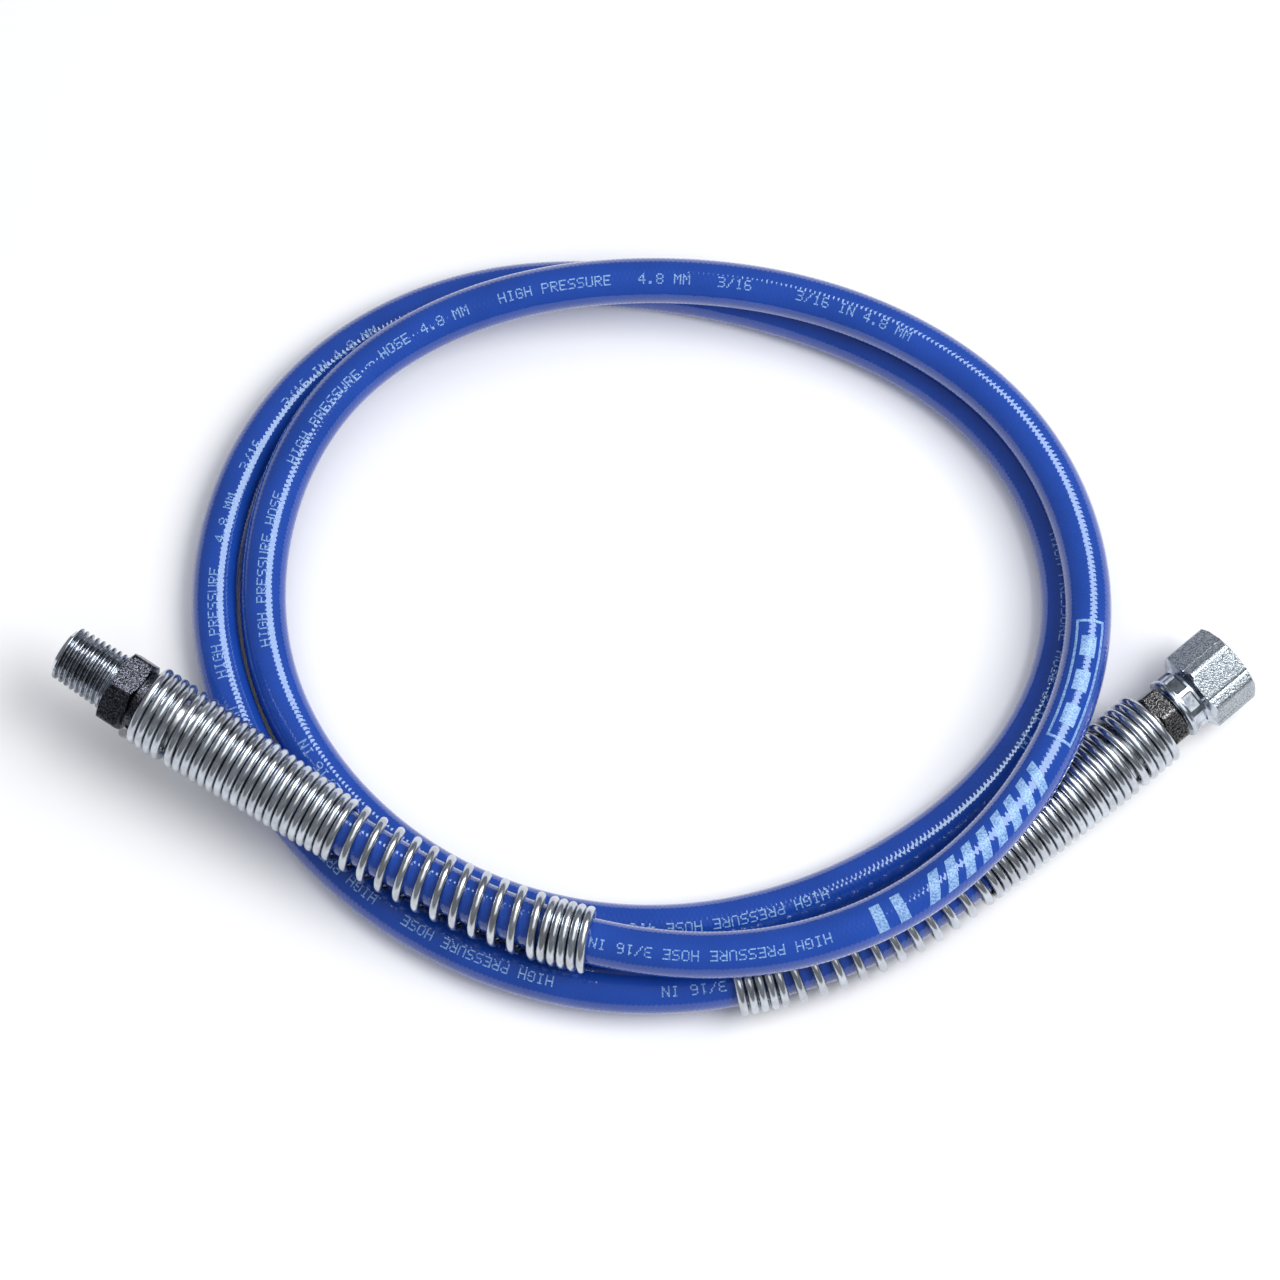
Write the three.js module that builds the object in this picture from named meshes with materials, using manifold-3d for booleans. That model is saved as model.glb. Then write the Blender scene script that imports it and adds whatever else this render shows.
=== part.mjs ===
// Whip hose for an airless paint sprayer: a 3/16 in high-pressure hose with a fixed male fitting on one
// end, a swivel nut on the other and a coiled wire guard over each crimp. It lies in a loose coil of a
// little over two turns. Millimetres, +Z up, resting on z = 0.
import * as THREE from "three";
import { mergeVertices } from "three/addons/utils/BufferGeometryUtils.js";
import Module from "manifold-3d";

const wasm = await Module();
wasm.setup();

// ---------------------------------------------------------------- driving dimensions

// The hose's layers, as the corner radii of their eight-sided sections.
const SECTION_SIDES = 8;
const COVER = { inner: 4.28, outer: 5.1 };
const BRAID = { inner: 3.43, outer: 3.95 };
const CORE = { inner: 2.58, outer: 3.1 };
const HOSE_STEPS = 66;

// Centre line of the hose from its male end to its swivel end: the guide points of a cubic B-spline.
const REST = 5.03; // height of the centre line where the hose lies on the ground
const CENTRING = [-3.66, -0.09]; // puts the middle of the whole part's footprint on the origin
const ROUTE = [
  [-104.9, -23.5, 22], [-76, -42.2, 19.5], [-48, -60.5, 17.5], [-16, -74, 17.3],
  [18, -80, 21], [51, -73, 23.5], [78, -53, 24.4], [97, -21, 20.2],
  [101, 13, 15.2], [88, 46, 15.5], [61, 68, 15.5], [29, 79, 16],
  [-6, 81, 16], [-39, 75, 15], [-69, 57, 13], [-84.5, 26, 9],
  [-84.5, -9, 5.5], [-67, -39, REST], [-40, -60, REST], [-6, -69.5, REST],
  [28, -66, REST], [59, -52, REST], [85, -29, REST], [98, 4, REST],
  [89, 39, REST], [65, 63, REST], [33, 77, REST], [0, 84, REST],
  [-35, 84, REST], [-67, 70, REST], [-89, 44, REST], [-97.5, 9, REST],
  [-89.5, -24, REST], [-70, -53, REST], [-42, -73, REST], [-9, -84, 7],
  [26, -81.5, 8.6], [58, -69.5, 8], [84, -47.5, 8.6], [110, -25.5, 10],
];

// Both ends: heights are outward from the hose's cut face, along the fitting's axis.
const BORE = 1.5; // radius of the waterway
const NIPPLE = { radius: 2.1, valley: 1.85, inside: 19, barbs: 5 };
const GROOVE = { radius: 4.4, low: 1.2 }; // the ferrule's lip is crimped into it
const FERRULE = { bore: 5.4, lip: 4.75, lipHeights: [1.5, 2.7], neck: 6.55, body: 6.25, inside: 20 };

const MALE = {
  hexLow: 5, hexHigh: 11, acrossFlats: 15.9, hexTurn: 45, // degrees from the side axis to a flat
  collarLow: 3, collarRadius: 6.9, relief: 5.6, reliefTop: 11.7,
  tip: 24.6, tipChamfer: 0.9, crestAtTip: 6.3, crestAtHex: 6.7, threadDepth: 0.9,
  seatRadius: 3.7, seatAngle: 30,
};
const THREAD_PITCH = 25.4 / 18;

const SWIVEL = {
  hexLow: 4.3, hexHigh: 8.6, acrossFlats: 12.7, hexTurn: 13, collarLow: 3.2, collarRadius: 6.3,
  neckRadius: 4.3, flangeLow: 14.8, flangeHigh: 16.4, flangeRadius: 5.8,
  noseTop: 18.8, noseRadius: 2.6,
};
const NUT = {
  back: 9.3, lipHigh: 10.3, lipRadius: 7.5, collarRadius: 7.1, collarHigh: 14.2,
  hexLow: 15, front: 26.2, acrossFlats: 17, hexTurn: 50.5,
  hole: 4.9, shoulder: 14.4, cavity: 6.4, threadLow: 17.2, threadHigh: 25.4, minor: 6.05, major: 6.65,
};
const DENTS = { count: 8, width: 3.9, low: 10.7, high: 13.6, bottom: 6.4, firstTurn: 22.5 };

// Wire guard, from the fitting to the free end: turns, pitch and the wire's radius at each stage's end.
const WIRE = { radius: 0.95, sides: 5, stepsPerTurn: 8, cornerReach: 0.35 };
const GUARD_START = { male: 3.7, swivel: 3.5 }; // height of the wire's first end
const GUARD_FIRST_TURN = { male: 0, swivel: 90 }; // degrees from the side axis to the wire's first end
const GUARD_RADIUS = 8.2;
const GUARD_STAGES = [
  { turns: 4, pitch: 2.1, radius: 8.2 },
  { turns: 1, pitch: 3.5, radius: 8.2 },
  { turns: 19, pitch: 2.1, radius: 6.5 },
  { turns: 11, pitch: 4.4, radius: 6.5 },
  { turns: 5, pitch: 2.15, radius: 6.5 },
];

const ROUND_SEGMENTS = 20;

// ---------------------------------------------------------------- materials

const blueCover = new THREE.MeshStandardMaterial({ color: 0x2a45a8, roughness: 0.28, metalness: 0 });
const whiteYarn = new THREE.MeshStandardMaterial({ color: 0xd8d5c8, roughness: 0.9, metalness: 0 });
const nylon = new THREE.MeshStandardMaterial({ color: 0xe9e4d6, roughness: 0.5, metalness: 0 });
const zincPlate = new THREE.MeshStandardMaterial({ color: 0xb4bcc4, roughness: 0.25, metalness: 1 });
const zincWire = new THREE.MeshStandardMaterial({ color: 0xc3c8cd, roughness: 0.2, metalness: 1 });

// ---------------------------------------------------------------- the hose's centre line

class HoseRoute extends THREE.Curve {
  constructor(points) {
    super();
    this.points = points;
    this.arcLengthDivisions = 1600;
  }

  // Past either end the guide points carry on in a straight line.
  guide(i) {
    const p = this.points;
    const last = p.length - 1;
    if (i < 0) return p[0].clone().multiplyScalar(2).sub(p[1]);
    if (i > last) return p[last].clone().multiplyScalar(2).sub(p[last - 1]);
    return p[i];
  }

  getPoint(t, target = new THREE.Vector3()) {
    const spans = this.points.length - 1;
    const span = Math.min(Math.floor(t * spans), spans - 1);
    const f = t * spans - span;
    const weights = [
      (1 - f) ** 3,
      3 * f ** 3 - 6 * f ** 2 + 4,
      -3 * f ** 3 + 3 * f ** 2 + 3 * f + 1,
      f ** 3,
    ];
    target.set(0, 0, 0);
    weights.forEach((weight, k) => target.addScaledVector(this.guide(span - 1 + k), weight / 6));
    return target;
  }
}

const route = new HoseRoute(
  ROUTE.map(([x, y, z]) => new THREE.Vector3(x + CENTRING[0], y + CENTRING[1], z)),
);
const hoseLength = route.getLength();

// A point on the straight facets that the hose is extruded in, so that a guard wound round it stays
// clear of them.
function facetPoint(along) {
  const step = Math.min(Math.floor(along * HOSE_STEPS), HOSE_STEPS - 1);
  const from = route.getPointAt(step / HOSE_STEPS);
  const to = route.getPointAt((step + 1) / HOSE_STEPS);
  return from.lerp(to, along * HOSE_STEPS - step);
}

// The centre line's point at a height outward from one end's cut face, with its axes: outward along the
// fitting, sideways and up. Outside the hose the line runs on straight.
function station(end, height) {
  const fromEnd = THREE.MathUtils.clamp(-height / hoseLength, 0, 1);
  const along = end === "male" ? fromEnd : 1 - fromEnd;
  const outward = route.getTangentAt(along).multiplyScalar(end === "male" ? -1 : 1);
  const point = facetPoint(along).addScaledVector(outward, Math.max(height, 0));
  const side = new THREE.Vector3(0, 0, 1).cross(outward).normalize();
  const up = outward.clone().cross(side);
  return { point, outward, side, up };
}

// ---------------------------------------------------------------- shape helpers

// A mesh whose local Z axis is the fitting's axis, with Z = 0 at the hose's cut face.
function fittingMesh(name, geometry, material, end) {
  const { point, outward, side, up } = station(end, 0);
  const mesh = new THREE.Mesh(geometry, material);
  mesh.name = name;
  mesh.position.copy(point);
  mesh.quaternion.setFromRotationMatrix(new THREE.Matrix4().makeBasis(side, up, outward));
  return mesh;
}

// A solid of revolution about Z from [radius, height] pairs that climb in height on the outside.
function turned(pairs, segments = ROUND_SEGMENTS) {
  const profile = pairs.map(([radius, height]) => new THREE.Vector2(radius, height));
  return new THREE.LatheGeometry(profile, segments).rotateX(Math.PI / 2);
}

// A turned plug from its lowest to its highest height, closed on the axis at both ends.
function turnedPlug(pairs, segments) {
  const [low, high] = [pairs[0][1], pairs.at(-1)[1]];
  return turned([[0, low], ...pairs, [0, high]], segments);
}

function hexBar(acrossFlats, low, high, flatTurn) {
  const corner = acrossFlats / Math.sqrt(3);
  const shape = new THREE.Shape();
  for (let i = 0; i < 6; i++) {
    const angle = THREE.MathUtils.degToRad(flatTurn + 30 + 60 * i);
    const place = [corner * Math.cos(angle), corner * Math.sin(angle)];
    if (i === 0) shape.moveTo(...place);
    else shape.lineTo(...place);
  }
  shape.closePath();
  const bar = new THREE.ExtrudeGeometry(shape, { depth: high - low, bevelEnabled: false });
  return bar.translate(0, 0, low);
}

function solid(geometry) {
  const bare = geometry.clone();
  for (const name of Object.keys(bare.attributes)) if (name !== "position") bare.deleteAttribute(name);
  const merged = mergeVertices(bare, 1e-4);
  const kept = [];
  const index = merged.index.array;
  for (let i = 0; i < index.length; i += 3) {
    const [a, b, c] = [index[i], index[i + 1], index[i + 2]];
    if (a !== b && b !== c && c !== a) kept.push(a, b, c);
  }
  return new wasm.Manifold(
    new wasm.Mesh({
      numProp: 3,
      vertProperties: merged.attributes.position.array,
      triVerts: new Uint32Array(kept),
    }),
  );
}

function geometryOf(body) {
  const mesh = body.getMesh();
  return new THREE.BufferGeometry()
    .setAttribute("position", new THREE.BufferAttribute(new Float32Array(mesh.vertProperties), 3))
    .setIndex(new THREE.BufferAttribute(new Uint32Array(mesh.triVerts), 1));
}

// The two cones that turning a hex bar leaves on its corners.
function cornerChamfer(low, high, cornerRadius, lowRadius, highRadius) {
  const slope = Math.tan(THREE.MathUtils.degToRad(30));
  return turnedPlug([
    [lowRadius, low],
    [cornerRadius, low + (cornerRadius - lowRadius) * slope],
    [cornerRadius, high - (cornerRadius - highRadius) * slope],
    [highRadius, high],
  ]);
}

function chamferedHex(acrossFlats, low, high, flatTurn, lowRadius, highRadius) {
  const corner = acrossFlats / Math.sqrt(3) + 0.1;
  return solid(hexBar(acrossFlats, low, high, flatTurn)).intersect(
    solid(cornerChamfer(low, high, corner, lowRadius, highRadius)),
  );
}

// ---------------------------------------------------------------- hose layers

function layerShape({ inner, outer }) {
  const ring = (radius) =>
    Array.from({ length: SECTION_SIDES }, (_, i) => {
      const angle = (2 * Math.PI * i) / SECTION_SIDES;
      return new THREE.Vector2(radius * Math.cos(angle), radius * Math.sin(angle));
    });
  const shape = new THREE.Shape(ring(outer));
  shape.holes.push(new THREE.Path(ring(inner).reverse()));
  return shape;
}

function hoseLayer(name, layer, material) {
  const geometry = new THREE.ExtrudeGeometry(layerShape(layer), {
    steps: HOSE_STEPS,
    extrudePath: route,
    bevelEnabled: false,
  });
  const mesh = new THREE.Mesh(geometry, material);
  mesh.name = name;
  return mesh;
}

// ---------------------------------------------------------------- crimped ends

// The stem's tail inside the hose: saw-tooth rings that the core is squeezed onto, then the groove.
function tailProfile() {
  const step = NIPPLE.inside / NIPPLE.barbs;
  const pairs = [];
  for (let i = 0; i < NIPPLE.barbs; i++) {
    const low = -NIPPLE.inside + i * step;
    pairs.push([NIPPLE.valley, low], [NIPPLE.radius, low + 0.8 * step]);
  }
  pairs.push([NIPPLE.radius, GROOVE.low], [GROOVE.radius, GROOVE.low]);
  return pairs;
}

// The crimped sleeve: a lip in the stem's groove, a neck under the guard's first turns, and two crimped
// bands along its body.
function ferrule(name, end) {
  const { bore, lip, lipHeights, neck, body, inside } = FERRULE;
  const [lipLow, lipHigh] = lipHeights;
  const band = 0.3;
  const outside = [
    [bore + 0.35, -inside], [body, -inside + 0.6],
    [body, -14], [body - band, -13.4], [body - band, -10.6], [body, -10],
    [neck, -8.5], [neck, -6.5], [neck - band, -6], [neck - band, -2.6], [neck, -2],
    [neck, lipHigh - 0.5], [neck - 0.5, lipHigh],
  ];
  const bottomUp = [...outside, [lip, lipHigh], [lip, lipLow], [bore, lipLow], [bore, -inside]];
  return fittingMesh(name, turned([...bottomUp, bottomUp[0]]), zincPlate, end);
}

class GuardPath extends THREE.Curve {
  constructor(end) {
    super();
    this.end = end;
    this.turns = GUARD_STAGES.reduce((sum, stage) => sum + stage.turns, 0);
  }

  // Steps are even in angle, so the corners of neighbouring turns line up.
  getUtoTmapping(u) {
    return u;
  }

  getPoint(t, target = new THREE.Vector3()) {
    let left = t * this.turns;
    let height = GUARD_START[this.end];
    let radius = GUARD_RADIUS;
    for (const stage of GUARD_STAGES) {
      const done = Math.min(left, stage.turns);
      radius = THREE.MathUtils.lerp(radius, stage.radius, done / stage.turns);
      height -= done * stage.pitch;
      left -= done;
      if (left <= 0) break;
    }
    const { point, side, up } = station(this.end, height);
    const angle = 2 * Math.PI * t * this.turns + THREE.MathUtils.degToRad(GUARD_FIRST_TURN[this.end]);
    const reach = radius + WIRE.cornerReach;
    return target
      .copy(point)
      .addScaledVector(side, reach * Math.cos(angle))
      .addScaledVector(up, -reach * Math.sin(angle));
  }
}

// Right-hand coil of round wire that follows the hose's bend.
function springGuard(name, end) {
  const path = new GuardPath(end);
  const section = new THREE.Shape(
    Array.from({ length: WIRE.sides }, (_, i) => {
      const angle = (2 * Math.PI * i) / WIRE.sides;
      return new THREE.Vector2(WIRE.radius * Math.cos(angle), WIRE.radius * Math.sin(angle));
    }),
  );
  const geometry = new THREE.ExtrudeGeometry(section, {
    steps: path.turns * WIRE.stepsPerTurn,
    extrudePath: path,
    bevelEnabled: false,
  });
  const mesh = new THREE.Mesh(geometry, zincWire);
  mesh.name = name;
  return mesh;
}

// ---------------------------------------------------------------- male fitting

// Taper thread as a stack of ridges, from the relief beside the hex to the chamfered tip.
function maleThreadProfile() {
  const { relief, reliefTop, tip, tipChamfer, crestAtTip, crestAtHex, threadDepth } = MALE;
  const last = tip - tipChamfer;
  const ridges = Math.floor((last - reliefTop) / THREAD_PITCH);
  const crest = (height) =>
    THREE.MathUtils.mapLinear(height, reliefTop, tip, crestAtHex, crestAtTip);
  const pairs = [[relief, reliefTop]];
  for (let i = 0; i < ridges; i++) {
    const low = reliefTop + i * THREAD_PITCH;
    pairs.push([crest(low) - threadDepth, low + 0.05 * THREAD_PITCH]);
    pairs.push([crest(low), low + 0.55 * THREAD_PITCH]);
  }
  pairs.push([crestAtTip - threadDepth, last], [crestAtTip - threadDepth - 0.4, tip]);
  return pairs;
}

function maleStem() {
  const { hexLow, hexHigh, acrossFlats, hexTurn, collarLow, collarRadius, relief } = MALE;
  const { tip, seatRadius, seatAngle } = MALE;
  const round = solid(
    turnedPlug([
      ...tailProfile(),
      [GROOVE.radius, collarLow], [collarRadius, collarLow], [collarRadius, hexLow + 0.5],
      [relief, hexLow + 0.5], ...maleThreadProfile(),
    ]),
  );
  const face = acrossFlats / 2 + 0.05;
  const hex = chamferedHex(acrossFlats, hexLow, hexHigh, hexTurn, face, face);
  const seatDepth = (seatRadius - BORE) / Math.tan(THREE.MathUtils.degToRad(seatAngle));
  const waterway = solid(
    turnedPlug([
      [BORE, -NIPPLE.inside - 1], [BORE, tip - seatDepth], [seatRadius, tip], [seatRadius, tip + 1],
    ]),
  );
  return fittingMesh("male_stem", geometryOf(round.add(hex).subtract(waterway)), zincPlate, "male");
}

// ---------------------------------------------------------------- swivel fitting

function swivelStem() {
  const { hexLow, hexHigh, acrossFlats, hexTurn, collarLow, collarRadius, neckRadius } = SWIVEL;
  const { flangeLow, flangeHigh, flangeRadius, noseTop, noseRadius } = SWIVEL;
  const round = solid(
    turnedPlug([
      ...tailProfile(),
      [GROOVE.radius, collarLow], [collarRadius, collarLow], [collarRadius, hexLow + 0.5],
      [neckRadius, hexLow + 1], [neckRadius, flangeLow],
      [flangeRadius, flangeLow], [flangeRadius, flangeHigh], [noseRadius + 1.8, flangeHigh],
      [noseRadius, noseTop],
    ]),
  );
  const face = acrossFlats / 2 + 0.05;
  const hex = chamferedHex(acrossFlats, hexLow, hexHigh, hexTurn, face, acrossFlats / 2 + 0.6);
  const waterway = solid(turnedPlug([[BORE, -NIPPLE.inside - 1], [BORE, noseTop + 1]]));
  const body = round.add(hex).subtract(waterway);
  return fittingMesh("swivel_stem", geometryOf(body), zincPlate, "swivel");
}

function nutBore() {
  const { back, hole, shoulder, cavity, threadLow, threadHigh, front, minor, major } = NUT;
  const pairs = [[hole, back - 1], [hole, shoulder], [cavity, shoulder], [cavity, threadLow - 0.3]];
  const ridges = Math.floor((threadHigh - threadLow) / THREAD_PITCH);
  for (let i = 0; i < ridges; i++) {
    const low = threadLow + i * THREAD_PITCH;
    pairs.push([minor, low], [minor, low + 0.25 * THREAD_PITCH], [major, low + 0.65 * THREAD_PITCH]);
  }
  pairs.push([minor, threadHigh - 0.2], [major + 0.2, front], [major + 0.2, front + 1]);
  return solid(turnedPlug(pairs));
}

function crimpDents() {
  const { count, width, low, high, bottom, firstTurn } = DENTS;
  const depth = 2;
  const cutters = Array.from({ length: count }, (_, i) => {
    const block = new THREE.BoxGeometry(depth, width, high - low);
    block.translate(bottom + depth / 2, 0, (low + high) / 2);
    return solid(block.rotateZ(THREE.MathUtils.degToRad(firstTurn + (360 * i) / count)));
  });
  return cutters.reduce((all, cutter) => all.add(cutter));
}

function swivelNut() {
  const { back, lipHigh, lipRadius, collarRadius, collarHigh, hexLow, front } = NUT;
  const { acrossFlats, hexTurn } = NUT;
  const collar = solid(
    turnedPlug([
      [lipRadius - 0.3, back], [lipRadius, back + 0.3], [lipRadius, lipHigh - 0.2],
      [collarRadius, lipHigh], [collarRadius, collarHigh], [collarRadius + 0.9, hexLow + 0.2],
    ]),
  );
  const face = acrossFlats / 2 + 0.1;
  const hex = chamferedHex(acrossFlats, collarHigh + 0.3, front, hexTurn, collarRadius + 0.6, face);
  const body = collar.add(hex).subtract(nutBore()).subtract(crimpDents());
  return fittingMesh("swivel_nut", geometryOf(body), zincPlate, "swivel");
}

// ---------------------------------------------------------------- assembly

const whipHose = new THREE.Group();
whipHose.add(
  hoseLayer("hose_cover", COVER, blueCover),
  hoseLayer("hose_braid", BRAID, whiteYarn),
  hoseLayer("hose_core", CORE, nylon),
  maleStem(),
  ferrule("male_ferrule", "male"),
  springGuard("male_spring_guard", "male"),
  swivelStem(),
  ferrule("swivel_ferrule", "swivel"),
  springGuard("swivel_spring_guard", "swivel"),
  swivelNut(),
);

export default whipHose;
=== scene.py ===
# Whip hose for an airless paint sprayer, lying in a loose coil of a little over two turns. The packed
# model gives the frame, the bodies and the boxes; the pieces here are its smooth, detailed versions.
import math

import bpy
import numpy as np
from mathutils import Matrix


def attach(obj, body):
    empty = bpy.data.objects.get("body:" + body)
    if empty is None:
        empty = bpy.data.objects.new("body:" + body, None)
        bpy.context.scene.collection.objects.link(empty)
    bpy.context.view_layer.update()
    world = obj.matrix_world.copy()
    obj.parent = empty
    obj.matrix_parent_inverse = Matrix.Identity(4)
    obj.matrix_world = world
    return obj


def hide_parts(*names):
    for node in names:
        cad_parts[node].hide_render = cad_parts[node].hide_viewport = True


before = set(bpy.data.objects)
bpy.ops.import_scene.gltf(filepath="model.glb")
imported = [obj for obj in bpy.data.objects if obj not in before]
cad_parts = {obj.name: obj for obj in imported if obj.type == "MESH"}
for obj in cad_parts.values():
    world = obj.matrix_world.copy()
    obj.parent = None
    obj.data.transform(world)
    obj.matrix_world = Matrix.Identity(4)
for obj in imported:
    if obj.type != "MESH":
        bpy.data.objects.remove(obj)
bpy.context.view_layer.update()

# ---------------------------------------------------------------- sizes, in metres

MM = 0.001

# Guide points of the hose's centre line, the same as the model's.
REST = 0.00503
CENTRING = (-0.00366, -0.00009, 0)
ROUTE = [
    (-0.1049, -0.0235, 0.022), (-0.076, -0.0422, 0.0195), (-0.048, -0.0605, 0.0175),
    (-0.016, -0.074, 0.0173), (0.018, -0.080, 0.021), (0.051, -0.073, 0.0235),
    (0.078, -0.053, 0.0244), (0.097, -0.021, 0.0202), (0.101, 0.013, 0.0152),
    (0.088, 0.046, 0.0155), (0.061, 0.068, 0.0155), (0.029, 0.079, 0.016),
    (-0.006, 0.081, 0.016), (-0.039, 0.075, 0.015), (-0.069, 0.057, 0.013),
    (-0.0845, 0.026, 0.009), (-0.0845, -0.009, 0.0055), (-0.067, -0.039, REST),
    (-0.040, -0.060, REST), (-0.006, -0.0695, REST), (0.028, -0.066, REST),
    (0.059, -0.052, REST), (0.085, -0.029, REST), (0.098, 0.004, REST),
    (0.089, 0.039, REST), (0.065, 0.063, REST), (0.033, 0.077, REST), (0, 0.084, REST),
    (-0.035, 0.084, REST), (-0.067, 0.070, REST), (-0.089, 0.044, REST),
    (-0.0975, 0.009, REST), (-0.0895, -0.024, REST), (-0.070, -0.053, REST),
    (-0.042, -0.073, REST), (-0.009, -0.084, 0.007), (0.026, -0.0815, 0.0086),
    (0.058, -0.0695, 0.008), (0.084, -0.0475, 0.0086), (0.110, -0.0255, 0.010),
]

HOSE_DIAMETER = 10.2 * MM
HOSE_RING_SPACING = 1.5 * MM
STEPS_PER_SPAN = 60  # of the centre line, between two guide points
BRAID_STARTS = 12  # yarns side by side in each direction
BRAID_PITCH = 1.1 * MM  # from ridge to ridge along the hose
LAYERS = {  # inner radius, outer radius, sides, material slot
    "hose_cover": (4.15 * MM, HOSE_DIAMETER / 2, 48, "hose_blue"),
    "hose_braid": (3.3 * MM, 4.1 * MM, 16, "braid_yarn"),
    "hose_core": (2.4 * MM, 3.25 * MM, 16, "core_nylon"),
}

# Wire guard, from the fitting to its free end: turns, pitch and the coil's radius at each stage's end.
WIRE_RADIUS = 1.0 * MM
WIRE_SIDES = 12
STEPS_PER_TURN = 30
GUARD_START = {"male": 3.7 * MM, "swivel": 3.5 * MM}
GUARD_FIRST_TURN = {"male": 0, "swivel": 90}  # degrees from the side axis to the wire's first end
GUARD_RADIUS = 8.2 * MM
GUARD_STAGES = [
    (4, 2.1 * MM, 8.2 * MM),
    (1, 3.5 * MM, 8.2 * MM),
    (19, 2.1 * MM, 6.5 * MM),
    (11, 4.4 * MM, 6.5 * MM),
    (5, 2.15 * MM, 6.5 * MM),
]

# Fittings: heights are outward from the hose's cut face, along the fitting's axis.
COLUMNS = 144
THREAD_PITCH = 25.4 * MM / 18
ROWS_PER_PITCH = 20
BORE = 1.5 * MM
BARB_LOW = -19 * MM
BARB_PITCH = 3.8 * MM
HEX_SLOPE = math.tan(math.radians(30))
HEX_CORNER = 1.13  # greatest width over the corners, as a share of the width across flats
SCRIBED_LINE = math.radians(15)  # from the middle of a flat to the line on it
SCRIBED_DEPTH = 0.16 * MM
SEAT_SLOPE = math.tan(math.radians(30))

# Camera: it looks at the middle of the coil from the front, well above it.
CAMERA_ELEVATION = math.radians(72)
CAMERA_DISTANCE = 1.150
CAMERA_LENS = 144.9


# ---------------------------------------------------------------- the hose's centre line


def spline(points, per_span):
    """Points along a uniform cubic B-spline that runs on straight past its first and last guide points."""
    guide = np.vstack([2 * points[0] - points[1], points, 2 * points[-1] - points[-2]])
    spans = len(points) - 1
    u = np.linspace(0, spans, spans * per_span + 1)
    i = np.minimum(u.astype(int), spans - 1)
    f = (u - i)[:, None]
    return (
        (1 - f) ** 3 * guide[i]
        + (3 * f**3 - 6 * f**2 + 4) * guide[i + 1]
        + (-3 * f**3 + 3 * f**2 + 3 * f + 1) * guide[i + 2]
        + f**3 * guide[i + 3]
    ) / 6


def unit(vectors):
    return vectors / np.linalg.norm(vectors, axis=-1, keepdims=True)


class HoseLine:
    """The hose's centre line, looked up by distance from its male end."""

    def __init__(self, points):
        self.points = spline(points, STEPS_PER_SPAN)
        steps = np.linalg.norm(np.diff(self.points, axis=0), axis=1)
        self.travel = np.concatenate([[0], np.cumsum(steps)])
        self.length = self.travel[-1]
        self.tangents = np.gradient(self.points, self.travel, axis=0)

    def lookup(self, table, distance):
        return np.stack([np.interp(distance, self.travel, table[:, k]) for k in range(3)], axis=-1)

    def station(self, end, height):
        """Point, outward axis, side axis and up axis at heights outward from one end's cut face."""
        height = np.atleast_1d(np.asarray(height, dtype=float))
        inside = np.clip(-height, 0, self.length)
        distance = inside if end == "male" else self.length - inside
        outward = unit(self.lookup(self.tangents, distance)) * (-1 if end == "male" else 1)
        point = self.lookup(self.points, distance) + outward * np.maximum(height, 0)[:, None]
        side = unit(np.cross([0, 0, 1], outward))
        return point, outward, side, np.cross(outward, side)


hose_line = HoseLine(np.array(ROUTE) + np.array(CENTRING))


# ---------------------------------------------------------------- mesh helpers


def grid_faces(rows, columns, closed_rows):
    """Quads of a grid of vertices that closes round its columns, and round its rows too if asked."""
    faces = []
    for row in range(rows if closed_rows else rows - 1):
        low = row * columns
        high = ((row + 1) % rows) * columns
        for column in range(columns):
            after = (column + 1) % columns
            faces.append((low + column, low + after, high + after, high + column))
    return faces


def make_piece(name, node, body, vertices, faces, material, crease=35):
    mesh = bpy.data.meshes.new(name)
    mesh.from_pydata(vertices.reshape(-1, 3).tolist(), [], faces)
    mesh.polygons.foreach_set("use_smooth", [True] * len(mesh.polygons))
    mesh.set_sharp_from_angle(angle=math.radians(crease))
    mesh.materials.append(material)
    mesh.update()
    piece = bpy.data.objects.new(name, mesh)
    bpy.context.scene.collection.objects.link(piece)
    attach(piece, body)
    if node:
        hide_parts(node)
    return piece


def round_section(radius, sides):
    angle = np.linspace(0, 2 * math.pi, sides, endpoint=False)
    return np.stack([radius * np.cos(angle), radius * np.sin(angle)], axis=-1)


def rings_along(points, side, up, section):
    """One ring of vertices, shaped as the section, at each point."""
    return (
        points[:, None, :]
        + section[None, :, 0, None] * side[:, None, :]
        + section[None, :, 1, None] * up[:, None, :]
    )


def carried_frames(points):
    """Side and up axes carried along a path without twisting about it."""
    tangents = unit(np.gradient(points, axis=0))
    sides = np.empty_like(points)
    side = np.cross(tangents[0], [0, 0, 1])
    for i, tangent in enumerate(tangents):
        side = side - tangent * np.dot(side, tangent)
        side = side / np.linalg.norm(side)
        sides[i] = side
    return sides, np.cross(tangents, sides)


# ---------------------------------------------------------------- materials


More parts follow.
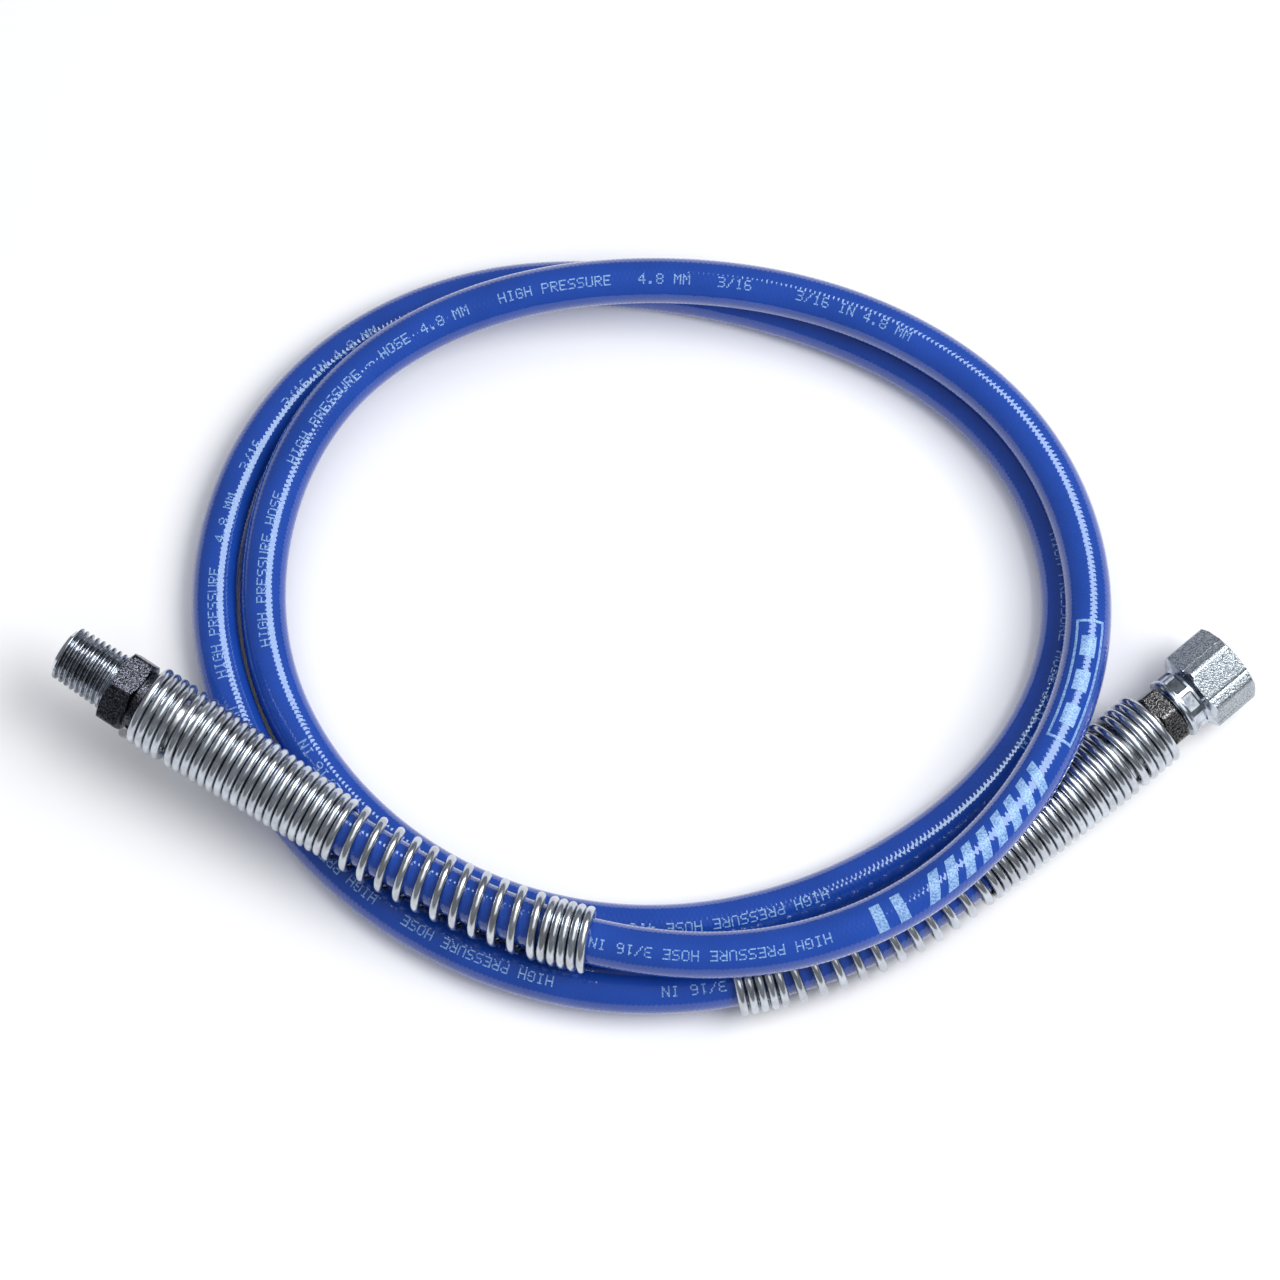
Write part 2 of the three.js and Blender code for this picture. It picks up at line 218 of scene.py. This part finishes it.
class Nodes:
    """Short calls for making a material's nodes and links."""

    def __init__(self, name):
        self.material = bpy.data.materials.new(name)
        self.material.use_nodes = True
        self.tree = self.material.node_tree
        self.shader = self.tree.nodes["Principled BSDF"]

    def set(self, **values):
        for name, value in values.items():
            self.shader.inputs[name.replace("_", " ").title().replace("Ior", "IOR")].default_value = value

    def node(self, kind, inputs=None, **properties):
        made = self.tree.nodes.new(kind)
        for name, value in properties.items():
            setattr(made, name, value)
        for name, value in (inputs or {}).items():
            if isinstance(value, bpy.types.NodeSocket):
                self.tree.links.new(value, made.inputs[name])
            else:
                made.inputs[name].default_value = value
        return made

    def link(self, output, socket_name):
        self.tree.links.new(output, self.shader.inputs[socket_name])

    def ramp(self, factor, stops, interpolation="LINEAR"):
        made = self.node("ShaderNodeValToRGB", {"Fac": factor})
        ramp = made.color_ramp
        ramp.interpolation = interpolation
        for element, (position, color) in zip(ramp.elements, (stops[0], stops[-1])):
            element.position, element.color = position, (*color, 1)
        for position, color in stops[1:-1]:
            ramp.elements.new(position).color = (*color, 1)
        return made.outputs["Color"]

    def math(self, operation, first, second=0.0, third=0.0):
        made = self.node("ShaderNodeMath", {0: first, 1: second, 2: third}, operation=operation)
        return made.outputs[0]

    def span(self, factor, low, high):
        made = self.node("ShaderNodeMapRange", {"Value": factor, "To Min": low, "To Max": high})
        return made.outputs["Result"]

    def noise(self, vector, scale, detail=3.0, roughness=0.5):
        inputs = {"Vector": vector, "Scale": scale, "Detail": detail, "Roughness": roughness}
        return self.node("ShaderNodeTexNoise", inputs).outputs["Fac"]


def cover_material():
    """Glossy blue polyurethane. The braid beneath shows through as fine crossing ridges."""
    nodes = Nodes("blue polyurethane")
    nodes.set(coat_weight=1.0, coat_roughness=0.03, coat_ior=1.5, ior=1.2)
    place = nodes.node("ShaderNodeTexCoord").outputs["Object"]
    tone = nodes.noise(place, 60, 4)
    color = nodes.ramp(tone, [(0.3, (0.009, 0.053, 0.32)), (0.7, (0.013, 0.066, 0.39))])
    nodes.link(color, "Base Color")
    uv = nodes.node("ShaderNodeUVMap", uv_map="UVMap").outputs["UV"]
    split = nodes.node("ShaderNodeSeparateXYZ", {"Vector": uv})
    along, around = split.outputs["X"], split.outputs["Y"]
    lay = nodes.math("MULTIPLY", around, BRAID_STARTS * 2 * math.pi)
    pace = nodes.math("MULTIPLY", along, 2 * math.pi / BRAID_PITCH)
    one_way = nodes.math("SINE", nodes.math("ADD", pace, lay))
    other_way = nodes.math("SINE", nodes.math("SUBTRACT", pace, lay))
    ridges = nodes.math("ADD", one_way, other_way)
    grain = nodes.noise(place, 500, 2, 0.5)
    height = nodes.math("MULTIPLY_ADD", ridges, 0.2, grain)
    bump = nodes.node("ShaderNodeBump", {"Strength": 0.5, "Distance": 0.00008, "Height": height})
    nodes.link(bump.outputs["Normal"], "Normal")
    nodes.link(bump.outputs["Normal"], "Coat Normal")
    nodes.link(nodes.span(nodes.noise(place, 220, 4), 0.14, 0.24), "Roughness")
    return nodes.material


def ink_material():
    """Pale ink with small gaps where it didn't take."""
    nodes = Nodes("pale ink")
    place = nodes.node("ShaderNodeTexCoord").outputs["Object"]
    wear = nodes.noise(place, 2500, 3)
    nodes.link(nodes.ramp(wear, [(0.35, (0.07, 0.17, 0.48)), (0.6, (0.3, 0.49, 0.75))]), "Base Color")
    nodes.link(nodes.span(wear, 0.3, 0.5), "Roughness")
    return nodes.material


def zinc_material(name, dark, light, roughness, grain_scale, bump_distance, speckle=0.15):
    """Zinc plate: a bluish metal whose tone is partly cloudy and partly a speckle of fine grain, between
    the dark and light colours given. The darkest of these, on the hex flats and the thread, are painted
    shade.
    """
    nodes = Nodes(name)
    nodes.set(metallic=1.0)
    place = nodes.node("ShaderNodeTexCoord").outputs["Object"]
    cloud = nodes.noise(place, 260, 5, 0.6)
    grain = nodes.noise(place, grain_scale, 3, 0.6)
    tone = nodes.math("MULTIPLY_ADD", nodes.math("SUBTRACT", grain, cloud), speckle, cloud)
    nodes.link(nodes.ramp(tone, [(0.4, dark), (0.6, light)]), "Base Color")
    nodes.link(nodes.span(cloud, *roughness), "Roughness")
    inputs = {"Strength": 1.0, "Distance": bump_distance, "Height": grain}
    nodes.link(nodes.node("ShaderNodeBump", inputs).outputs["Normal"], "Normal")
    return nodes.material


def yarn_material():
    nodes = Nodes("woven yarn")
    nodes.set(roughness=0.9)
    place = nodes.node("ShaderNodeTexCoord").outputs["Object"]
    weave = nodes.noise(place, 1400, 2)
    nodes.link(nodes.ramp(weave, [(0.4, (0.55, 0.53, 0.46)), (0.6, (0.8, 0.78, 0.72))]), "Base Color")
    inputs = {"Strength": 0.8, "Distance": 0.0002, "Height": weave}
    nodes.link(nodes.node("ShaderNodeBump", inputs).outputs["Normal"], "Normal")
    return nodes.material


def nylon_material():
    nodes = Nodes("nylon")
    place = nodes.node("ShaderNodeTexCoord").outputs["Object"]
    cloud = nodes.noise(place, 90)
    nodes.link(nodes.ramp(cloud, [(0.3, (0.76, 0.72, 0.6)), (0.7, (0.86, 0.83, 0.73))]), "Base Color")
    nodes.link(nodes.span(cloud, 0.35, 0.5), "Roughness")
    return nodes.material


MATERIALS = {
    "hose_blue": cover_material(),
    "braid_yarn": yarn_material(),
    "core_nylon": nylon_material(),
    "zinc_fitting": zinc_material(
        "turned zinc", (0.5, 0.53, 0.57), (0.72, 0.76, 0.8), (0.08, 0.2), 1200, 0.000004
    ),
    # Darker zinc on the male thread is painted shade: the dark of its grooves and flanks put into the
    # colour.
    "zinc_thread_painted_shade": zinc_material(
        "thread zinc with painted shade", (0.14, 0.15, 0.17), (0.42, 0.45, 0.5), (0.1, 0.2), 1500, 0.00001, 0.5
    ),
    "zinc_sleeve": zinc_material(
        "pressed zinc", (0.42, 0.44, 0.47), (0.68, 0.71, 0.74), (0.15, 0.35), 900, 0.00001
    ),
    "zinc_wire": zinc_material(
        "drawn zinc wire", (0.44, 0.46, 0.49), (0.6, 0.64, 0.69), (0.16, 0.28), 900, 0.000004
    ),
    "zinc_nut": zinc_material(
        "turned nut zinc", (0.25, 0.28, 0.32), (0.55, 0.59, 0.65), (0.1, 0.24), 1000, 0.00001
    ),
    # Near-black zinc on the male stem's shoulder, collar and hex flats is painted shade: a dark reflection
    # put into the colour, since the plate itself is much lighter.
    "fitting_flats_painted_shade": zinc_material(
        "grainy fitting zinc with painted shade", (0.004, 0.004, 0.006), (0.09, 0.095, 0.115), (0.15, 0.25), 2400, 0.00013, 0.9
    ),
    # Dark zinc on the swivel stem's shoulder, collar and hex flats is painted shade: a dark reflection put
    # into the colour, since the plate itself is much lighter.
    "swivel_flats_painted_shade": zinc_material(
        "grainy swivel zinc with painted shade", (0.015, 0.015, 0.016), (0.25, 0.245, 0.25), (0.15, 0.25), 2600, 0.00013, 0.9
    ),
    "nut_flats": zinc_material(
        "grainy nut zinc", (0.13, 0.15, 0.17), (0.54, 0.59, 0.63), (0.24, 0.38), 3000, 0.00015, 1.0
    ),
    "ink": ink_material(),
}


# ---------------------------------------------------------------- camera


def make_camera():
    camera = bpy.data.objects.new("camera", bpy.data.cameras.new("camera"))
    bpy.context.scene.collection.objects.link(camera)
    camera.data.lens = CAMERA_LENS
    camera.data.sensor_width = 36
    camera.location = (
        CENTRING[0],
        CENTRING[1] - CAMERA_DISTANCE * math.cos(CAMERA_ELEVATION),
        CAMERA_DISTANCE * math.sin(CAMERA_ELEVATION),
    )
    camera.rotation_euler = (math.pi / 2 - CAMERA_ELEVATION, 0, 0)
    bpy.context.scene.camera = camera


make_camera()

# ---------------------------------------------------------------- hose


def make_hose_layer(node, inner, outer, sides, slot):
    """A hollow tube along the whole hose, with UVs of the distance along it and the turn round it."""
    count = round(hose_line.length / HOSE_RING_SPACING) + 1
    distance = np.linspace(hose_line.length, 0, count)
    points, _, side, up = hose_line.station("male", -distance)
    outside = rings_along(points, side, up, round_section(outer, sides))
    inside = rings_along(points, side, up, round_section(inner, sides))
    vertices = np.concatenate([outside, inside[::-1]])
    faces = grid_faces(2 * count, sides, closed_rows=True)
    piece = make_piece(node + "_piece", node, "hose_line", vertices, faces, MATERIALS[slot])
    travel = np.concatenate([distance, distance[::-1]])
    uvs = piece.data.uv_layers.new(name="UVMap")
    places = []
    for row in range(2 * count):
        near, far = travel[row], travel[(row + 1) % (2 * count)]
        for column in range(sides):
            turn, after = column / sides, (column + 1) / sides
            places += [near, turn, near, after, far, after, far, turn]
    uvs.data.foreach_set("uv", places)
    return piece, points


layers = {
    node: make_hose_layer(node, *sizes)
    for node, sizes in LAYERS.items()
}


# ---------------------------------------------------------------- wire guards


def make_guard(node, end):
    turns = sum(stage[0] for stage in GUARD_STAGES)
    turn = np.linspace(0, turns, turns * STEPS_PER_TURN + 1)
    stage_turns = np.cumsum([0] + [stage[0] for stage in GUARD_STAGES])
    travel = np.cumsum([0] + [stage[0] * stage[1] for stage in GUARD_STAGES])
    radii = [GUARD_RADIUS] + [stage[2] for stage in GUARD_STAGES]
    height = GUARD_START[end] - np.interp(turn, stage_turns, travel)
    radius = np.interp(turn, stage_turns, radii)[:, None]
    angle = (2 * math.pi * turn + math.radians(GUARD_FIRST_TURN[end]))[:, None]
    points, _, side, up = hose_line.station(end, height)
    path = points + radius * (np.cos(angle) * side - np.sin(angle) * up)
    wire_side, wire_up = carried_frames(path)
    vertices = rings_along(path, wire_side, wire_up, round_section(WIRE_RADIUS, WIRE_SIDES))
    faces = grid_faces(len(path), WIRE_SIDES, closed_rows=False)
    last = (len(path) - 1) * WIRE_SIDES
    faces.append(tuple(reversed(range(WIRE_SIDES))))
    faces.append(tuple(range(last, last + WIRE_SIDES)))
    slot = "zinc_wire"
    return make_piece(node + "_piece", node, "hose_line", vertices, faces, MATERIALS[slot], 60)


# ---------------------------------------------------------------- turned fittings


def hex_radius(angles, across_flats, turn, scribed):
    """A hexagon with slightly rounded corners, and a line this deep along one side of each flat."""
    from_flat = (angles - math.radians(turn) + math.pi / 6) % (math.pi / 3) - math.pi / 6
    on_line = np.abs(from_flat - SCRIBED_LINE) < math.radians(1)
    return across_flats / 2 * np.minimum(1 / np.cos(from_flat), HEX_CORNER) - scribed * on_line


def hex_rows(angles, across_flats, turn, low, high, low_radius, high_radius, scribed=0.0):
    """A hex bar's outside, going up, with the cones that turning leaves on its corners."""
    radius = hex_radius(angles, across_flats, turn, scribed)
    low_edge = low + np.maximum(radius - low_radius, 0.00002) * HEX_SLOPE
    high_edge = high - np.maximum(radius - high_radius, 0.00002) * HEX_SLOPE
    return [
        (np.minimum(low_radius, radius), low),
        (radius, low_edge),
        (radius, high_edge),
        (np.minimum(high_radius, radius), high),
    ]


def thread_rows(angles, low, high, crest_low, crest_high, depth, inside=False):
    """A right-hand thread's surface, going up, fading out over its first and last half pitch."""
    count = round((high - low) / THREAD_PITCH * ROWS_PER_PITCH)
    rows = []
    for height in np.linspace(low, high, count + 1):
        share = (height - low) / (high - low)
        phase = (height / THREAD_PITCH - angles / (2 * math.pi)) % 1
        groove = np.clip(np.abs(phase - 0.5) * 2.5 - 0.12, 0, 1)
        groove = groove * groove * (3 - 2 * groove)
        fade = np.clip(min(height - low, high - height) / (THREAD_PITCH / 2), 0, 1)
        crest = crest_low + (crest_high - crest_low) * share
        rows.append((crest + (1 if inside else -1) * depth * groove * fade, height))
    return rows


def make_turned(node, end, slot, rows, turn, body="hose_line", material_bands=(), thread=None):
    """A hollow fitting from rows of (radius, height) that go up its outside and back down its bore.
    Material bands are the numbers of two rows and the material of the surface between them; some are
    darkened zinc, painted shade. Thread is the numbers of its thread's first and last rows, between
    which no edge is sharp."""
    angles = fitting_angles(turn)
    radius = np.array([np.broadcast_to(row[0], COLUMNS) for row in rows])
    height = np.array([np.broadcast_to(row[1], COLUMNS) for row in rows])
    point, outward, side, up = (part[0] for part in hose_line.station(end, 0))
    vertices = (
        point
        + (radius * np.cos(angles))[..., None] * side
        + (radius * np.sin(angles))[..., None] * up
        + height[..., None] * outward
    )
    faces = grid_faces(len(rows), COLUMNS, closed_rows=True)
    piece = make_piece(node + "_piece", node, body, vertices, faces, MATERIALS[slot], 30)
    for number, (first, last, material) in enumerate(material_bands, start=1):
        piece.data.materials.append(MATERIALS[material])
        for polygon in piece.data.polygons[first * COLUMNS:last * COLUMNS]:
            polygon.material_index = number
    if thread:
        for edge in piece.data.edges:
            if all(thread[0] < corner // COLUMNS < thread[1] for corner in edge.vertices):
                edge.use_edge_sharp = False
    return piece


def fitting_angles(turn):
    """Angles of a fitting's columns, counted from the middle of one of its flats."""
    return math.radians(turn) + np.linspace(0, 2 * math.pi, COLUMNS, endpoint=False)


def tail_rows():
    """The stem's saw-toothed tail inside the hose, up to the groove that the ferrule's lip sits in."""
    rows = []
    for low in np.arange(BARB_LOW, 0, BARB_PITCH):
        rows += [(1.85 * MM, low), (2.1 * MM, low + 3 * MM)]
    return rows + [(2.1 * MM, 1.2 * MM), (4.4 * MM, 1.25 * MM)]


def make_male_stem():
    turn = 45
    angles = fitting_angles(turn)
    face = 7.87 * MM
    tip = 24.6 * MM
    seat_radius = 3.7 * MM
    bore_end = tip - (seat_radius - BORE) / SEAT_SLOPE
    threads = thread_rows(angles, 11.6 * MM, 23.7 * MM, 6.7 * MM, 6.3 * MM, 0.95 * MM)
    below = [
        *tail_rows(),
        (4.4 * MM, 3 * MM), (6.7 * MM, 3 * MM), (6.9 * MM, 3.2 * MM), (6.9 * MM, 4.9 * MM),
    ]
    rows = [
        *below,
        *hex_rows(angles, 15.9 * MM, turn, 5 * MM, 11 * MM, face, face),
        (5.9 * MM, 11.02 * MM), (5.6 * MM, 11.3 * MM),
        *threads,
        (5.4 * MM, 23.75 * MM), (5 * MM, tip),
        (seat_radius, tip), (BORE, bore_end), (BORE, BARB_LOW),
    ]
    flat = len(below) + 1
    thread = (len(below) + 6, len(below) + 5 + len(threads))
    # The shoulder, collar and hex below the thread get near-black zinc, painted shade; the thread gets
    # darker zinc, painted shade in its grooves.
    material_bands = [(len(tail_rows()), flat + 1, "fitting_flats_painted_shade"), (*thread, "zinc_thread_painted_shade")]
    return make_turned("male_stem", "male", "zinc_fitting", rows, turn, "hose_line", material_bands, thread)


def make_swivel_stem():
    turn = 13
    angles = fitting_angles(turn)
    below = [*tail_rows(), (4.4 * MM, 3.2 * MM), (6.3 * MM, 3.2 * MM), (6.3 * MM, 4.25 * MM)]
    rows = [
        *below,
        *hex_rows(angles, 12.7 * MM, turn, 4.3 * MM, 8.6 * MM, 6.4 * MM, 6.4 * MM),
        (4.5 * MM, 8.62 * MM), (4.3 * MM, 8.9 * MM), (4.3 * MM, 14.8 * MM),
        (5.8 * MM, 14.82 * MM), (5.8 * MM, 16.4 * MM), (4.4 * MM, 16.42 * MM),
        (2.6 * MM, 18.8 * MM), (BORE, 18.8 * MM), (BORE, BARB_LOW),
    ]
    flat = len(below) + 1
    # The shoulder, collar and hex get dark zinc, painted shade.
    material_bands = [(len(tail_rows()), flat + 1, "swivel_flats_painted_shade")]
    return make_turned("swivel_stem", "swivel", "zinc_fitting", rows, turn, "hose_line", material_bands)


def crimped(angles, radius, count, bottom, first_turn):
    """A round section pressed flat in evenly spaced places."""
    half = math.pi / count
    from_press = (angles - math.radians(first_turn) + half) % (2 * half) - half
    return np.minimum(radius, bottom / np.cos(from_press))


def dented(angles, radius, count, bottom, half_width, first_turn):
    """A round section with evenly spaced flat-bottomed dents in it."""
    half = math.pi / count
    from_dent = (angles - math.radians(first_turn) + half) % (2 * half) - half
    inside = bottom * np.abs(np.tan(from_dent)) < half_width
    return np.where(inside, bottom / np.cos(from_dent), radius)


def make_ferrule(node, end):
    angles = fitting_angles(0)
    wide, band = (crimped(angles, r * MM, 8, r * MM * 0.955, 0) for r in (6.25, 6.0))
    rows = [
        (5.8 * MM, -20 * MM), (6.25 * MM, -19.4 * MM), (6.25 * MM, -18.6 * MM),
        (wide, -18 * MM), (wide, -14 * MM), (band, -13.4 * MM), (band, -10.6 * MM), (wide, -10 * MM),
        (6.55 * MM, -8.5 * MM), (6.55 * MM, -6.5 * MM), (6.25 * MM, -6 * MM), (6.25 * MM, -2.6 * MM),
        (6.55 * MM, -2 * MM), (6.55 * MM, 2.2 * MM), (6.05 * MM, 2.7 * MM),
        (4.75 * MM, 2.7 * MM), (4.75 * MM, 1.5 * MM), (5.4 * MM, 1.5 * MM), (5.4 * MM, -20 * MM),
    ]
    return make_turned(node, end, "zinc_sleeve", rows, 0)


def make_swivel_nut():
    turn = 50.5
    angles = fitting_angles(turn)
    dents = dented(angles, 7.1 * MM, 8, 6.35 * MM, 1.95 * MM, 22.5)
    inner = thread_rows(angles, 17.2 * MM, 25.4 * MM, 6.05 * MM, 6.05 * MM, 0.6 * MM, inside=True)
    below = [
        (5.1 * MM, 9.3 * MM), (7.2 * MM, 9.3 * MM), (7.5 * MM, 9.6 * MM), (7.5 * MM, 10.1 * MM),
        (7.15 * MM, 10.35 * MM), (7.1 * MM, 10.7 * MM), (dents, 10.85 * MM), (dents, 13.45 * MM),
        (7.1 * MM, 13.6 * MM), (7.1 * MM, 14.1 * MM), (7.5 * MM, 14.4 * MM),
    ]
    rows = [
        *below,
        *hex_rows(angles, 17 * MM, turn, 14.5 * MM, 26.2 * MM, 7.9 * MM, 8.75 * MM, SCRIBED_DEPTH),
        (6.95 * MM, 26.2 * MM), (6.7 * MM, 25.95 * MM), *inner[::-1],
        (6.4 * MM, 17 * MM), (6.4 * MM, 14.4 * MM), (4.9 * MM, 14.4 * MM), (4.9 * MM, 9.5 * MM),
    ]
    flat = len(below) + 1
    thread = (len(below) + 6, len(below) + 5 + len(inner))
    material_bands = [(flat, flat + 1, "nut_flats")]
    return make_turned("swivel_nut", "swivel", "zinc_nut", rows, turn, "nut", material_bands, thread)


male_pieces = [
    make_male_stem(),
    make_ferrule("male_ferrule", "male"),
    make_guard("male_spring_guard", "male"),
]
swivel_pieces = [
    make_swivel_stem(),
    make_ferrule("swivel_ferrule", "swivel"),
    make_guard("swivel_spring_guard", "swivel"),
    make_swivel_nut(),
]

cover, cover_points = layers["hose_cover"]

# ---------------------------------------------------------------- ink on the hose

# Plain lettering in a 5 by 7 grid of dots, one string of rows for each sign.
GLYPHS = {
    "H": "#...# #...# #...# ##### #...# #...# #...#",
    "O": ".###. #...# #...# #...# #...# #...# .###.",
    "S": ".#### #.... #.... .###. ....# ....# ####.",
    "E": "##### #.... #.... ####. #.... #.... #####",
    "I": ".###. ..#.. ..#.. ..#.. ..#.. ..#.. .###.",
    "N": "#...# ##..# ##..# #.#.# #..## #..## #...#",
    "M": "#...# ##.## #.#.# #.#.# #...# #...# #...#",
    "P": "####. #...# #...# ####. #.... #.... #....",
    "R": "####. #...# #...# ####. #.#.. #..#. #...#",
    "U": "#...# #...# #...# #...# #...# #...# .###.",
    "G": ".###. #...# #.... #.### #...# #...# .###.",
    "/": "....# ...#. ...#. ..#.. .#... .#... #....",
    "-": "..... ..... ..... ##### ..... ..... .....",
    ".": "..... ..... ..... ..... ..... .##.. .##..",
    "1": "..#.. .##.. ..#.. ..#.. ..#.. ..#.. .###.",
    "3": "####. ....# ....# .###. ....# ....# ####.",
    "4": "...#. ..##. .#.#. #..#. ##### ...#. ...#.",
    "6": ".###. #.... #.... ####. #...# #...# .###.",
    "8": ".###. #...# #...# .###. #...# #...# .###.",
    " ": "..... ..... ..... ..... ..... ..... .....",
}
DOT = 0.335 * MM  # from dot to dot
DOT_FILL = 0.84  # height of a dot, as a share of that
DOT_GAP = 0.12  # left between two runs of dots, as a share of that
LEGEND_PERIOD = 0.640
LEGEND = [  # distance of the first letter from the hose's male end, text
    (0.054, "HIGH PRESSURE HOSE 4.8 MM"),
    (0.160, "HIGH PRESSURE HOSE 3/16 IN"),
    (0.368, "3/16 IN 4.8 MM"),
    (0.386, "3/16"),
    (0.404, "4.8 MM"),
    (0.436, "HIGH PRESSURE"),
    (0.455, "4.8 MM"),
    (0.498, "HIGH PRESSURE - HOSE"),
    (0.541, "HIGH PRESSURE HOSE"),
    (0.578, "3/16 IN"),
]
BADGE_START = 0.257
INK_SINK = 0.03 * MM
INK_STAND = 0.035 * MM
PRINT_LEAN = 0.3  # radians that the print is turned about the hose, towards the front of the coil
FIRST_PRINT = 0.1  # nearer the ends the guards hide the hose


class Ink:
    """Thin curved patches of ink on the hose, gathered into one mesh."""

    def __init__(self):
        self.vertices = []
        self.faces = []

    def patch(self, along, across, slant=0.0):
        """A patch from along[0] to along[1] on the hose and from across[0] to across[1] round it, where
        across is measured from the hose's top towards the outside of the coil."""
        steps = max(1, math.ceil(abs(along[1] - along[0]) / (1.5 * MM)))
        turns = max(1, math.ceil((across[1] - across[0]) / (0.7 * MM)))
        share = np.linspace(0, 1, turns + 1)
        round_offset = across[0] + (across[1] - across[0]) * share
        first = len(self.vertices)
        for radius in (HOSE_DIAMETER / 2 - INK_SINK, HOSE_DIAMETER / 2 + INK_STAND):
            for distance in np.linspace(along[0], along[1], steps + 1):
                places = distance + slant * (round_offset - across[0])
                point, _, side, up = hose_line.station("male", -places)
                angle = (round_offset / (HOSE_DIAMETER / 2) - PRINT_LEAN * side[:, 1])[:, None]
                self.vertices += list(point + radius * (np.sin(angle) * side + np.cos(angle) * up))
        width = turns + 1
        layer = width * (steps + 1)
        rim = (
            [(0, i) for i in range(turns)]
            + [(i, turns) for i in range(steps)]
            + [(steps, i) for i in range(turns, 0, -1)]
            + [(i, 0) for i in range(steps, 0, -1)]
        )
        rim = [first + row * width + column for row, column in rim]  # vertices round the lower layer
        for a, b in zip(rim, rim[1:] + rim[:1]):
            self.faces.append((a, b, b + layer, a + layer))
        for row in range(steps):
            for column in range(turns):
                a = first + row * width + column
                quad = (a, a + 1, a + width + 1, a + width)
                self.faces.append(tuple(reversed(quad)))
                self.faces.append(tuple(corner + layer for corner in quad))

    def text(self, start, words):
        """Letters that run back towards the male end, with their tops towards the outside of the coil."""
        for place, sign in enumerate(words):
            for row, dots in enumerate(GLYPHS[sign].split()):
                low = (3 - row - DOT_FILL / 2) * DOT
                column = 0
                while column < 5:
                    run = len(dots[column:]) - len(dots[column:].lstrip("#"))
                    if run:
                        far = start - (place * 6 + column) * DOT
                        near = far - (run - DOT_GAP) * DOT
                        self.patch((near, far), (low, low + DOT_FILL * DOT))
                    column += run + 1

    def badge(self, start):
        """A frame with three bars in it, a row of slanted bars and two upright ones."""
        half = 3.2 * MM
        line = 0.6 * MM
        frame_end = start - 30 * MM
        self.patch((frame_end, start), (half - line, half))
        self.patch((frame_end, start), (-half, line - half))
        self.patch((frame_end, frame_end + line), (line - half, half - line))
        self.patch((start - line, start), (line - half, half - line))
        for i in range(3):
            edge = start - (4 + 8.5 * i) * MM
            self.patch((edge - 5 * MM, edge), (-1.7 * MM, 1.7 * MM))
        for i in range(8):
            edge = start - (37 + 4.7 * i) * MM
            self.patch((edge - 2.6 * MM, edge), (-half, half), slant=-0.5)
        for i in range(2):
            edge = start - (80 + 5 * i) * MM
            self.patch((edge - 2.4 * MM, edge), (-half, half))


def make_print():
    ink = Ink()
    ink.badge(BADGE_START)
    for repeat in range(2):
        for distance, words in LEGEND:
            start = distance + repeat * LEGEND_PERIOD
            if FIRST_PRINT < start < hose_line.length - FIRST_PRINT:
                ink.text(start, words)
    vertices = np.array(ink.vertices)
    return make_piece("hose_print", None, "hose_line", vertices, ink.faces, MATERIALS["ink"])


hose_print = make_print()

# ---------------------------------------------------------------- floor, lights and world


def make_floor():
    half = 3.0
    mesh = bpy.data.meshes.new("floor")
    corners = [(-half, -half, 0), (half, -half, 0), (half, half, 0), (-half, half, 0)]
    mesh.from_pydata(corners, [], [(0, 1, 2, 3)])
    nodes = Nodes("pale floor")
    nodes.set(roughness=0.9)
    nodes.shader.inputs["Base Color"].default_value = (0.93, 0.935, 0.95, 1)
    nodes.shader.inputs["Specular IOR Level"].default_value = 0.1
    mesh.materials.append(nodes.material)
    floor = bpy.data.objects.new("floor", mesh)
    bpy.context.scene.collection.objects.link(floor)


def make_light(name, place, width, depth, power, unseen_by, pieces=(), color=(1, 1, 1)):
    """A soft light that faces the middle of the coil. It is either left out of glossy reflections, to
    cast only shadows, or left out of diffuse ones. With a list of pieces it lights only those."""
    light = bpy.data.lights.new(name, "AREA")
    light.shape = "RECTANGLE"
    light.size, light.size_y, light.energy, light.color = width, depth, power, color
    lamp = bpy.data.objects.new(name, light)
    bpy.context.scene.collection.objects.link(lamp)
    setattr(lamp, "visible_" + unseen_by, False)
    away = unit(np.array(place))
    side = unit(np.cross([0, 1, 0.01], away))
    up = np.cross(away, side)
    lamp.matrix_world = Matrix(
        [[side[i], up[i], away[i], place[i]] for i in range(3)] + [[0, 0, 0, 1]]
    )
    if pieces:
        lit = bpy.data.collections.new("lit by " + name)
        for piece in pieces:
            lit.objects.link(piece)
        lamp.light_linking.receiver_collection = lit


def make_world():
    world = bpy.data.worlds.new("studio")
    bpy.context.scene.world = world
    world.use_nodes = True
    background = world.node_tree.nodes["Background"]
    background.inputs["Color"].default_value = (0.9, 0.93, 1, 1)
    background.inputs["Strength"].default_value = 0.26


make_floor()
make_world()
metal_pieces = male_pieces + swivel_pieces
make_light("strip", (0.5, 0.38, 0.95), 0.7, 0.5, 14, "diffuse", metal_pieces)
make_light("band", (0.5, 0.25, 0.95), 0.6, 0.85, 17, "diffuse", [cover, hose_print], (0.75, 0.95, 1))
make_light("panel", (0.35, 0.15, 1.1), 1.2, 1.7, 8, "diffuse", metal_pieces)
make_light("side", (0.7, -0.1, 1.0), 0.8, 0.8, 11.5, "glossy")
make_light("overhead", (0, 0, 1.6), 2.6, 2.6, 18.7, "glossy")
bpy.context.scene.view_settings.view_transform = "Standard"
